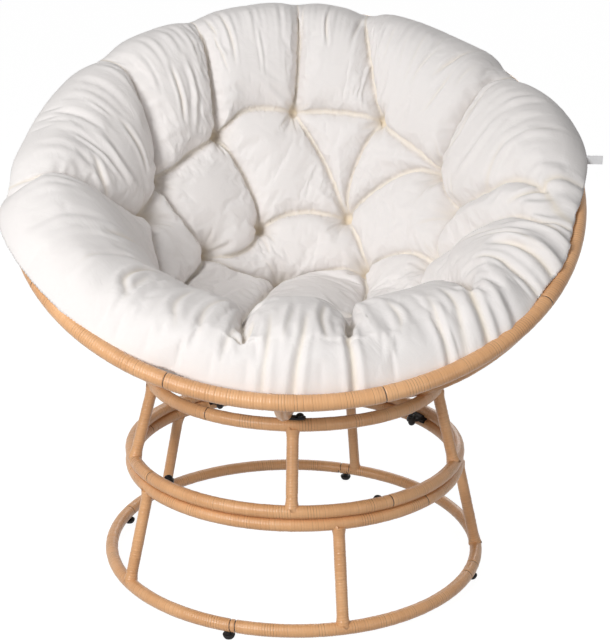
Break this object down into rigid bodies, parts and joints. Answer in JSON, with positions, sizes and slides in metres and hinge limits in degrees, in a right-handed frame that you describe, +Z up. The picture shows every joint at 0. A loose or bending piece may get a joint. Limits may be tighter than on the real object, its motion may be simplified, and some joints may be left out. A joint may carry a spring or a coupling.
{
  "type": "papasan chair",
  "caption": "Round reclined papasan chair: a loose tufted cushion lies in a tilted wicker-wound bowl on a two-tier hoop stand with levelling glides.",
  "frame": {"origin": "on the floor under the middle of the round stand", "axes": "+Z up; -Y is the front, the side of the bowl's low edge; +X is the sitter's left, the picture's right"},
  "size_m": [1.1009, 0.9, 1.0165],
  "materials": {
    "wound_tube": "satin",
    "black_steel": "satin",
    "black_rubber": "matte",
    "cream_canvas": "matte",
    "white_tape": "matte"
  },
  "bodies": {
    "frame": {"floor_hoop": "wound_tube", "lower_stand_top_hoop": "wound_tube", "upper_stand_bottom_hoop": "wound_tube", "top_hoop": "wound_tube", "lower_strut_1": "wound_tube", "lower_strut_2": "wound_tube", "lower_strut_3": "wound_tube", "lower_strut_4": "wound_tube", "lower_strut_5": "wound_tube", "upper_strut_1": "wound_tube", "upper_strut_2": "wound_tube", "upper_strut_3": "wound_tube", "upper_strut_4": "wound_tube", "upper_strut_5": "wound_tube", "bowl_rim": "wound_tube", "bowl_foot_hoop": "wound_tube", "bowl_rib_1": "wound_tube", "bowl_rib_2": "wound_tube", "bowl_rib_3": "wound_tube", "bowl_rib_4": "wound_tube", "bowl_rib_5": "wound_tube", "bowl_rib_6": "wound_tube", "glide_insert_1": "black_steel", "glide_insert_2": "black_steel", "glide_insert_3": "black_steel", "glide_insert_4": "black_steel", "clamp_lower_tab_1": "black_steel", "clamp_lower_tab_2": "black_steel", "clamp_lower_tab_3": "black_steel", "clamp_lower_tab_4": "black_steel", "clamp_upper_tab_1": "black_steel", "clamp_upper_tab_2": "black_steel", "clamp_upper_tab_3": "black_steel", "clamp_upper_tab_4": "black_steel", "clamp_bolt_1": "black_steel", "clamp_bolt_2": "black_steel", "clamp_bolt_3": "black_steel", "clamp_bolt_4": "black_steel", "clamp_cap_nut_1": "black_steel", "clamp_cap_nut_2": "black_steel", "clamp_cap_nut_3": "black_steel", "clamp_cap_nut_4": "black_steel", "bowl_tab_1": "black_steel", "bowl_tab_2": "black_steel", "bowl_tab_3": "black_steel", "bowl_screw_1": "black_steel", "bowl_screw_2": "black_steel", "bowl_screw_3": "black_steel"},
    "cushion_body": {"cushion": "cream_canvas", "cushion_tag": "white_tape"},
    "glide_1": {"floor_glide_1": "black_rubber"},
    "glide_2": {"floor_glide_2": "black_rubber"},
    "glide_3": {"floor_glide_3": "black_rubber"},
    "glide_4": {"floor_glide_4": "black_rubber"}
  },
  "joints": [
    {"name": "cushion_lift", "type": "slide", "parent": "frame", "child": "cushion_body", "axis": [0, -0.506, 0.8625], "range_m": [0, 0.4]},
    {"name": "glide_1_turn", "type": "hinge", "parent": "frame", "child": "glide_1", "pos_m": [0.1097, 0.33763, 0.01], "axis": [0, 0, 1], "range_deg": [-1080, 1440]},
    {"name": "glide_2_turn", "type": "hinge", "parent": "frame", "child": "glide_2", "pos_m": [-0.33763, 0.1097, 0.01], "axis": [0, 0, 1], "range_deg": [-1080, 1440]},
    {"name": "glide_3_turn", "type": "hinge", "parent": "frame", "child": "glide_3", "pos_m": [-0.1097, -0.33763, 0.01], "axis": [0, 0, 1], "range_deg": [-1080, 1440]},
    {"name": "glide_4_turn", "type": "hinge", "parent": "frame", "child": "glide_4", "pos_m": [0.33763, -0.1097, 0.01], "axis": [0, 0, 1], "range_deg": [-1080, 1440]}
  ]
}
